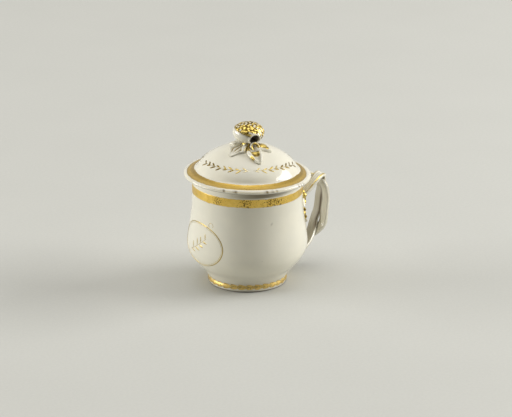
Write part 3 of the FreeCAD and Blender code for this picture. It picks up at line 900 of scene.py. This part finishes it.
# %% Lay the leaves round the fruit
def dome_ground(turn, start, reach, bend):
    """The dome's skin under a leaf that points away from the axis and may bend aside."""
    def ground(share, aside):
        out = start + (reach - start) * share
        along = radians(turn + bend * share * share)
        x = out * cos(along) - aside * sin(along)
        y = out * sin(along) + aside * cos(along)
        radius = hypot(x, y)
        slope = dome_half_height ** 2 / dome_half_width ** 2
        level = dome_level(radius)
        way = unit(np.array([x * slope, y * slope, level - dome_top + dome_half_height]))
        low = np.array(seated(x, y, level))
        high = np.array(seated(*(np.array([x, y, level]) + way)))
        return low, high - low
    return ground


def crowned(side):
    """A leaf that is highest along its middle."""
    return 1 - 0.72 * side ** 2


def cupped(side):
    """A leaf with a shallow middle and a rim raised a little."""
    return 0.62 + 0.38 * eased(0.5, 0.9, side) - 0.5 * eased(0.93, 1, side)


def folded(side):
    """A leaf with a hollow middle and raised edges."""
    return 0.3 + 0.7 * eased(0.15, 0.75, side) - 0.35 * eased(0.88, 1, side)


def fan_of_veins(share, side):
    """Dark gilt veins that run outwards and stop before a white edge, on a shaded root."""
    vein = max(0.0, cos(pi * 4.4 * side + 0.5)) ** 1.3
    vein = vein * swell(0.0, 0.1, 0.66, 0.85, share) * (abs(side) < 0.86)
    root = 1 - eased(0.3, 0.75, share)
    return vein, max(0.95 * vein, 0.08 * root), 0.4 * vein


def gilt_boat(share, side):
    """A pool of gold in the fold, gold at one side of the root, a gilt blob and a white tip."""
    inside = 1 - eased(0.45, 0.68, abs(side))
    curl = exp(-((share - 0.4 - 0.25 * side ** 2) / 0.06) ** 2)
    root = eased(-0.3, -0.55, side) * (1 - eased(0.3, 0.42, share))
    pool = inside * swell(0.3, 0.38, 0.58, 0.68, share)
    blob = exp(-((share - 0.73) / 0.1) ** 2 - ((side + 0.95) / 0.26) ** 2)
    fold = inside * swell(0.4, 0.5, 0.6, 0.8, share) * eased(0.0, 0.2, side)
    gilt = max(0.9 * pool, root, 1.3 * blob, 0.55 * fold)
    shade = max(0.35 * root, 0.9 * pool * (1 - curl), 0.25 * inside * (share < 0.8))
    return gilt, shade, -0.5 * curl * inside


def gilt_lobes(share, side):
    """Gold along the middle, with grooves towards the edge that get painted shade, and a white rim."""
    flank = 1 - eased(0.5, 0.68, abs(side))
    flank = flank * (1 - eased(0.75, 0.92, share))
    groove = max(0.0, cos(pi * 5 * (share + 0.3 * abs(side)))) ** 2
    return flank, 0.95 * flank * groove, 0.35 * flank * groove


def gilt_rims(share, side):
    """A white lobe with gold along both sides."""
    rim = eased(0.4, 0.7, abs(side))
    return rim, 0.5 * rim, 0.0


leaves = [
    ("leaf_front_boat", "leaf_front", 250.5, 6.4, 19.1, 3.5, 6.7, 2.1, folded, 0, gilt_boat),
    ("leaf_front_lobe", "leaf_front_left", 219, 3.0, 10.7, 0, 4.4, 2.0, crowned, 1, gilt_rims),
    ("leaf_left_veined", "leaf_left", 198, 3.0, 15.3, 0, 9.0, 1.3, cupped, 2, fan_of_veins),
    ("leaf_right_lobed", "leaf_right", 299, 3.0, 13.2, 0, 7.4, 2.2, crowned, 2, gilt_lobes),
    ("leaf_back_first", "leaf_back_left", 122, 3.0, 10.4, 0, 6.0, 1.4, cupped, 2, fan_of_veins),
    ("leaf_back_second", "leaf_back_right", 50, 3.0, 12.0, 0, 6.0, 1.6, crowned, 2, gilt_lobes),
]
for name, node, turn, start, reach, bend, width, height, section, lobes, pattern in leaves:
    ground = dome_ground(turn, start, reach, bend)
    leaf_piece(name, ground, width, height, section, lobes, pattern, "cover", node)

# %% [markdown]
# ## The handle
# Two flat straps with three reeds were pulled from soft clay, crossed at the top and again at the
# bottom, and luted to the wall. The line that runs between them, how far each strap stands to its
# side and which one passes over are the same as in the solid model.

# %% Find each strap's line
mouth_radius = 28.5
handle_reach = 48.6
handle_top = 49.4
handle_low = 10.8
strap_width = 5.6
strap_thickness = 2.0
strap_gap = 0.2
upper_root_spread = 6.6
lower_root_spread = 5.6
reach_shares = [
    -0.06, 0.20, 0.41, 0.62, 0.80, 0.945, 1.0, 0.99, 0.96, 0.92, 0.835, 0.67, 0.45, 0.20,
    -0.10, -0.24,
]
height_shares = [
    0.77, 0.87, 0.945, 0.997, 0.99, 0.907, 0.782, 0.653, 0.523, 0.407, 0.285, 0.187, 0.109, 0.047,
    0.0, -0.03,
]
handle_points = [
    (mouth_radius + (handle_reach - mouth_radius) * reach, handle_low + (handle_top - handle_low) * height)
    for reach, height in zip(reach_shares, height_shares)]
handle_line = smooth_through(handle_points, 14)
steps = np.linalg.norm(np.diff(handle_line, axis=0), axis=1)
handle_runs = np.concatenate([[0], np.cumsum(steps)])
handle_length = float(handle_runs[-14 - 1])
tangents = np.gradient(handle_line, axis=0)
tangents = tangents / np.linalg.norm(tangents, axis=1)[:, None]
handle_columns = [handle_line[:, 0], handle_line[:, 1], -tangents[:, 1], tangents[:, 0]]
print("the handle's line is", round(handle_length, 1), "mm long")


def strap_place(side, share):
    """The middle of a strap at a share of the handle's length, and the way out of the handle there."""
    run = share * handle_length
    x, z, out_x, out_z = [float(np.interp(run, handle_runs, column)) for column in handle_columns]
    outward = np.array([out_x, 0, out_z]) / hypot(out_x, out_z)
    beside = (strap_width + strap_gap) / 2
    spread = -upper_root_spread + (beside + upper_root_spread) * eased(0.19, 0.40, share)
    spread = spread - (beside + lower_root_spread) * eased(0.64, 0.94, share)
    lift = swell(0.11, 0.23, 0.37, 0.50, share)
    lift = lift - swell(0.56, 0.70, 0.88, 1.0, share)
    clear = (strap_thickness + strap_gap) / 2
    return np.array([x, spread * side, z]) + outward * clear * lift * side, outward


# %% [markdown]
# The section is drawn once: a nearly flat inner face, round sides, and three reeds on the outer
# face. The gilder ran a thin line of gold along both edges of the outer face. It is bright only
# near the top; lower down it is painted dark brown as painted shade.

# %% Pull the two straps
half = strap_width / 2
strap_edge = 0.45
reed_half = (half - strap_edge) / 3
section = []
for offset in np.linspace(-half + strap_edge, half - strap_edge, 15):
    section.append((offset, -1.0 + 0.12 * cos(offset * 1.9) ** 2, 0.0))
for angle in np.radians([-60, -30, 0, 30, 60]):
    edge = half - strap_edge + strap_edge * cos(angle)
    section.append((edge, 0.9 * sin(angle) - 0.08, 1.0 * (angle > 0.9)))
for offset in np.linspace(half - strap_edge, -half + strap_edge, 31):
    reed = abs(sin(pi * (offset + half - strap_edge) / (2 * reed_half)))
    section.append((offset, 0.68 + 0.32 * reed, 1.0 if abs(offset) > half - 0.9 else 0.0))
for angle in np.radians([120, 150, 180, 210, 240]):
    edge = -half + strap_edge + strap_edge * cos(angle)
    section.append((edge, 0.9 * sin(angle) - 0.08, 1.0 * (angle < 2.2)))
strap_steps = 150
strap_end_share = float(handle_runs[-1]) / handle_length


def strap_piece(name, side, node):
    """One strap, carried along its line and buried a little in the wall at both ends."""
    spots = []
    gilt = []
    hollow = []
    bare_and_shade = []
    for step in range(strap_steps + 1):
        share = strap_end_share * step / strap_steps
        middle, outward = strap_place(side, share)
        ahead = strap_place(side, min(share + 0.006, strap_end_share))[0]
        behind = strap_place(side, max(share - 0.006, 0))[0]
        along = unit(ahead - behind)
        across = unit(np.cross(along, outward))
        rise = np.cross(across, along)
        left_on = 0.46 + 0.54 * eased(0.14, 0.22, share) - 0.55 * swell(0.36, 0.5, 0.78, 0.88, share)
        for offset, height, mark in section:
            spots.append(middle + across * offset + rise * height)
            gilt.append(mark * left_on)
            # The inner faces and the grooves between the reeds get painted shade.
            inner_face = float(height < -0.8)
            shaded_place = (0.5 + 0.35 * side) * inner_face + 0.2 * float(0.6 < height < 0.76)
            hollow.append(max(shaded_place, 0.8 * mark * eased(0.4, 0.6, share)))
            # Painted shade darkens the inner faces where the two straps lie side by side.
            beside = eased(1.0, 2.4, offset * side) * float(height < -0.1)
            bare_and_shade.append(0.75 * beside * swell(0.3, 0.42, 0.72, 0.8, share))
    faces = ring_faces(strap_steps + 1, len(section))
    make_piece(name, spots, faces, relief_finish, "cup", [node], {
        "gilt": gilt, "hollow": hollow, "bare_and_shade": bare_and_shade, "rub": 0.2})


strap_piece("strap_near", 1, "handle_strap_near")
strap_piece("strap_far", -1, "handle_strap_far")

# %% [markdown]
# ## What is moulded on the wall
# A small sprig of leaves and berries hides each joint at the top, and a single leaf each joint at
# the bottom. To lay them on the wall, a function gives the wall's skin at any direction and level.

# %% The wall's skin
wall_levels = wall_line[:, 1]
wall_radii = wall_line[:, 0]
wall_slopes = np.gradient(wall_radii, wall_levels)
upper_wall_radius = 29


def wall_place(turn, level):
    """The point of the cup's wall at an angle in degrees and a level, and the way out of it."""
    angle = radians(turn)
    radius = float(np.interp(level, wall_levels, wall_radii))
    slope = float(np.interp(level, wall_levels, wall_slopes))
    outward = np.array([cos(angle), sin(angle), -slope])
    return np.array(cup_shape(radius, level, angle)), unit(outward)


def wall_ground(turn, level, sweep, drop):
    """The wall's skin under a leaf that runs round by a sweep and down by a drop."""
    def ground(share, aside):
        run = radians(sweep) * upper_wall_radius
        length = hypot(run, drop)
        shift_round = aside * drop / length
        shift_up = aside * run / length
        here = turn + sweep * share + degrees(shift_round / upper_wall_radius)
        return wall_place(here, level - drop * share + shift_up)
    return ground


def ball(centre, radius, sides, rings):
    """Points and faces of a small berry."""
    spots = []
    for polar in pi * np.linspace(0.02, 0.98, rings + 1):
        for side in range(sides):
            spots.append(centre + radius * way_of(2 * pi * side / sides, pi / 2 - polar))
    return spots, ring_faces(rings + 1, sides)


# %% Lay the sprigs and the lower leaves
berry_chain = [
    (19.5, 45.4, 1.3), (23.5, 44.2, 1.55), (22.0, 42.0, 1.4), (25.0, 40.8, 1.2), (23.0, 38.6, 1.0),
    (25.0, 36.6, 0.95), (24.0, 34.6, 0.85), (26.0, 32.8, 0.9), (27.5, 31.0, 0.8),
]


def bunch_of_gold(share, side):
    """Gold and painted shade by turns, for leaves too small to show more."""
    fleck = 0.5 + 0.5 * cos(pi * 9 * share + 3 * side)
    return 0.9, 0.9 * fleck ** 2, 0.3 * fleck


def sprig(name, side, node):
    """A trailing chain of berries on a long leaf, with a small leaf at its side."""
    leaf_piece(f"sprig_leaf_{name}", wall_ground(18 * side, 43.5, 9 * side, 13.5), 4.8, 1.5, crowned, 4,
               bunch_of_gold, "cup", node)
    leaf_piece(f"sprig_side_leaf_{name}", wall_ground(17 * side, 43.5, 14 * side, 4.5), 3.8, 1.7, crowned, 2,
               gilt_lobes, "cup", node)
    spots = []
    faces = []
    gilt = []
    hollow = []
    for number, (turn, level, radius) in enumerate(berry_chain):
        centre, outward = wall_place(turn * side, level)
        more_spots, more_faces = ball(centre + outward * radius * 0.75, radius, 16, 10)
        join(spots, faces, more_spots, more_faces)
        # The last berry has lost its gold and is white. The ones above it are darker by turns, and a little
        # darker towards the bottom.
        gilt.extend([0.1 if number == len(berry_chain) - 1 else 0.85] * len(more_spots))
        hollow.extend([0.9 if number in (2, 4, 5, 7) else 0.1 + 0.06 * number] * len(more_spots))
    make_piece(f"sprig_berries_{name}", spots, faces, relief_finish, "cup", [node], {
        "gilt": gilt, "hollow": hollow, "rub": 0.3})


sprig("near", -1, "upper_sprig_near")
sprig("far", 1, "upper_sprig_far")
for name, side in (("near", -1), ("far", 1)):
    leaf_piece(f"foot_leaf_{name}", wall_ground(11 * side, 13.6, 14 * side, 5.6), 5.2, 1.4, crowned, 3,
               gilt_lobes, "cup", f"lower_leaf_{name}")

# %% [markdown]
# ## What is painted on
# The gilder drew a garland of small leaves round the dome, and on the side an oval ring. Fired gold
# stands a little proud of the glaze, so each stroke is a thin crowned ribbon on the skin. The space
# in the ring holds a plain leaf sprig.

# %% Strokes of gold on any skin
gold_line_finish = glaze_with_gold("fired_gold_strokes", marked_mask, gold_pale, gold_olive)
# Shares of half the stroke's width, and mm over the skin.
stroke_section = [(-1, -0.04), (-0.55, 0.045), (0, 0.07), (0.55, 0.045), (1, -0.04), (0, -0.12)]


def stroke(spots, faces, marks, line, widths, strength):
    """Adds one brush stroke to a piece: a thin ribbon along a line of points and the ways out of them."""
    more_spots = []
    along = np.gradient(np.array([place for place, _ in line]), axis=0)
    for (place, way), ahead, width in zip(line, along, widths):
        across = unit(np.cross(ahead, way))
        for side, height in stroke_section:
            more_spots.append(place + across * width / 2 * side + way * height)
    marks.extend([strength] * len(more_spots))
    join(spots, faces, more_spots, ring_faces(len(line), len(stroke_section)))


def strokes_piece(name, body, spots, faces, marks, rub, gold_darkness):
    """Makes one piece of all the strokes of a pattern. Gold darkness says how dark each point's gold is."""
    make_piece(name, spots, faces, gold_line_finish, body, [], {
        "gilt": marks, "hollow": [gold_darkness(*spot) for spot in spots], "rub": rub})


# %% Paint the oval ring
ring_turn = 179.0
ring_level = 25.7
ring_half_width = 17.3
ring_half_height = 11.4
belly = 31.0


def on_panel(right, rise):
    """A point of the wall at mm to the right and mm up from the middle of the oval, seen from outside."""
    return wall_place(ring_turn + degrees(right / belly), ring_level + rise)


spots, faces, marks = [], [], []
around = np.linspace(0, 2 * pi, 181)
outer = [on_panel(ring_half_width * cos(a), ring_half_height * sin(a)) for a in around]
stroke(spots, faces, marks, outer, 0.56 + 0.16 * np.cos(around - 0.4), 0.95)
inner_width = ring_half_width - 0.75
inner_height = ring_half_height - 0.75
inner = [on_panel(inner_width * cos(a), inner_height * sin(a)) for a in around]
stroke(spots, faces, marks, inner, np.full(len(around), 0.16), 0.7)
curl = [on_panel(8.9 + 1.5 * cos(a), 11.9 + 1.3 * sin(a)) for a in np.linspace(-0.7, 4.1, 30)]
stroke(spots, faces, marks, curl, np.full(30, 0.24), 0.6)
strokes_piece("oval_ring", "cup", spots, faces, marks, 0.2, lambda x, y, z: 0.5)

# %% Paint the leaf sprig inside the ring
spots, faces, marks = [], [], []
stem = smooth_through([(-6.4, -4.2), (-3.4, -2.6), (0.2, -0.4), (3.2, 1.8), (6.4, 4.4)], 10)
stroke(spots, faces, marks, [on_panel(x, y) for x, y in stem], np.linspace(0.28, 0.16, len(stem)), 0.75)
for number, share in enumerate(np.linspace(0.12, 0.95, 8)):
    x, y = stem[int(share * (len(stem) - 1))]
    lean = radians(36 + (62 if number % 2 else -52))
    long = 4.2 - 2.2 * abs(share - 0.4)
    reach = long * np.linspace(0.05, 1, 9)
    line = [on_panel(x + s * cos(lean), y + s * sin(lean)) for s in reach]
    stroke(spots, faces, marks, line, 0.12 + 0.75 * np.sin(pi * np.linspace(0.05, 0.98, 9)), 0.8)
strokes_piece("panel_sprig", "cup", spots, faces, marks, 0.35, lambda x, y, z: 0.45)

# %% Paint the garland round the dome
garland_middles = (240.0, 60.0)
garland_reach = 74.0
garland_radius = 22.0
leaf_pairs = 8
leaf_length = 2.7


def on_dome(turn, radius):
    """A point of the dome's skin and the way out of it."""
    return dome_ground(turn, radius, radius + 1, 0)(0.0, 0.0)


def garland_line(turn, middle, hand):
    """How far from the axis the painter's line runs. It wanders outwards to its ends."""
    away = abs(turn - middle) / garland_reach
    return garland_radius - 0.3 * hand * away + (2.2 if hand > 0 else 0.6) * away ** 3


def garland_painted_sheen(x, y, z):
    """The garland's gold is painted bright in its middle as a painted reflection, and darker towards its
    ends.
    """
    return 0.85 - 0.85 * max(patch(atan2(y, x), middle, 62) for middle in garland_middles)


spots, faces, marks = [], [], []
for middle in garland_middles:
    for hand in (-1, 1):
        steps = np.linspace(2.5, garland_reach - 1, 60)
        twig = [on_dome(middle + hand * s, garland_line(middle + hand * s, middle, hand)) for s in steps]
        stroke(spots, faces, marks, twig, np.full(60, 0.2), 0.5)
        for number in range(leaf_pairs):
            turn = middle + hand * (4 + number * (garland_reach - 7) / (leaf_pairs - 1))
            radius = garland_line(turn, middle, hand)
            for tilt, ahead_by, long in ((24, 0.0, 1.0), (-20, 2.4, 0.9)):
                lean = radians(tilt + 7 * (number * 2 % 3 - 1))
                length = leaf_length * (long + 0.1 * (number % 3))
                line = []
                for s in np.linspace(0, 1, 8):
                    ahead = ahead_by + degrees(length * s * cos(lean) / garland_radius)
                    line.append(on_dome(turn + hand * ahead, radius + length * s * sin(lean)))
                # The strokes in the middle of the garland are thin.
                full = 0.6 + 0.2 * eased(0, 3, number)
                widths = 0.2 + full * np.sin(pi * np.linspace(0.04, 0.95, 8))
                stroke(spots, faces, marks, line, widths, 0.55 + 0.15 * (number % 3))
strokes_piece("dome_garland", "cover", spots, faces, marks, 0.35, garland_painted_sheen)
